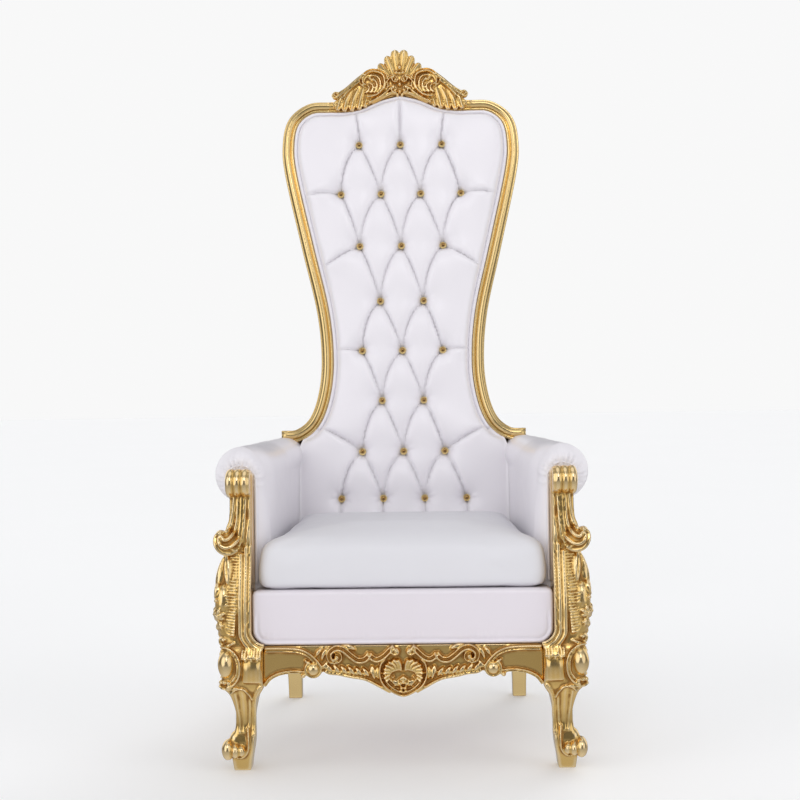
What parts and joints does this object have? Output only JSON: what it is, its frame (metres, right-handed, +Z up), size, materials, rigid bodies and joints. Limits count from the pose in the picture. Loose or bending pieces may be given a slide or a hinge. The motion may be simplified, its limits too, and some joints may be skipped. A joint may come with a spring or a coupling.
{
  "type": "throne",
  "caption": "High-backed ceremonial throne: carved gilt frame with crested back, scrolled arm posts and cabriole front legs, white buttoned back and loose seat cushion.",
  "frame": {"origin": "centre of the bounding box on the floor", "axes": "+Z up from the floor, +X to the right of someone facing the throne, -Y towards the front"},
  "size_m": [0.823, 0.805, 1.7423],
  "materials": {
    "gilt_frame": "carved wood under bright gold leaf, red-brown in the hollows",
    "white_cover": "white glossy leathercloth, fine grain",
    "cushion_cover": "white satin leathercloth, softer shine than the back",
    "buttons": "polished gold-coloured domes"
  },
  "bodies": {
    "root": {"crest_rail": "gilt_frame", "back_stile_left": "gilt_frame", "back_stile_right": "gilt_frame", "front_post_left": "gilt_frame", "front_post_right": "gilt_frame", "front_rail": "gilt_frame", "side_rail_left": "gilt_frame", "side_rail_right": "gilt_frame", "back_rail": "gilt_frame", "back_leg_left": "gilt_frame", "back_leg_right": "gilt_frame", "inside_back": "white_cover", "outside_back": "white_cover", "arm_left": "white_cover", "arm_right": "white_cover", "seat_base": "white_cover", "seat_cushion": "cushion_cover", "button_1_1": "buttons", "button_1_2": "buttons", "button_1_3": "buttons", "button_2_1": "buttons", "button_2_2": "buttons", "button_2_3": "buttons", "button_2_4": "buttons", "button_3_1": "buttons", "button_3_2": "buttons", "button_3_3": "buttons", "button_4_1": "buttons", "button_4_2": "buttons", "button_5_1": "buttons", "button_5_2": "buttons", "button_5_3": "buttons", "button_6_1": "buttons", "button_6_2": "buttons", "button_7_1": "buttons", "button_7_2": "buttons", "button_7_3": "buttons", "button_8_1": "buttons", "button_8_2": "buttons", "button_8_3": "buttons", "button_8_4": "buttons"}
  },
  "joints": []
}
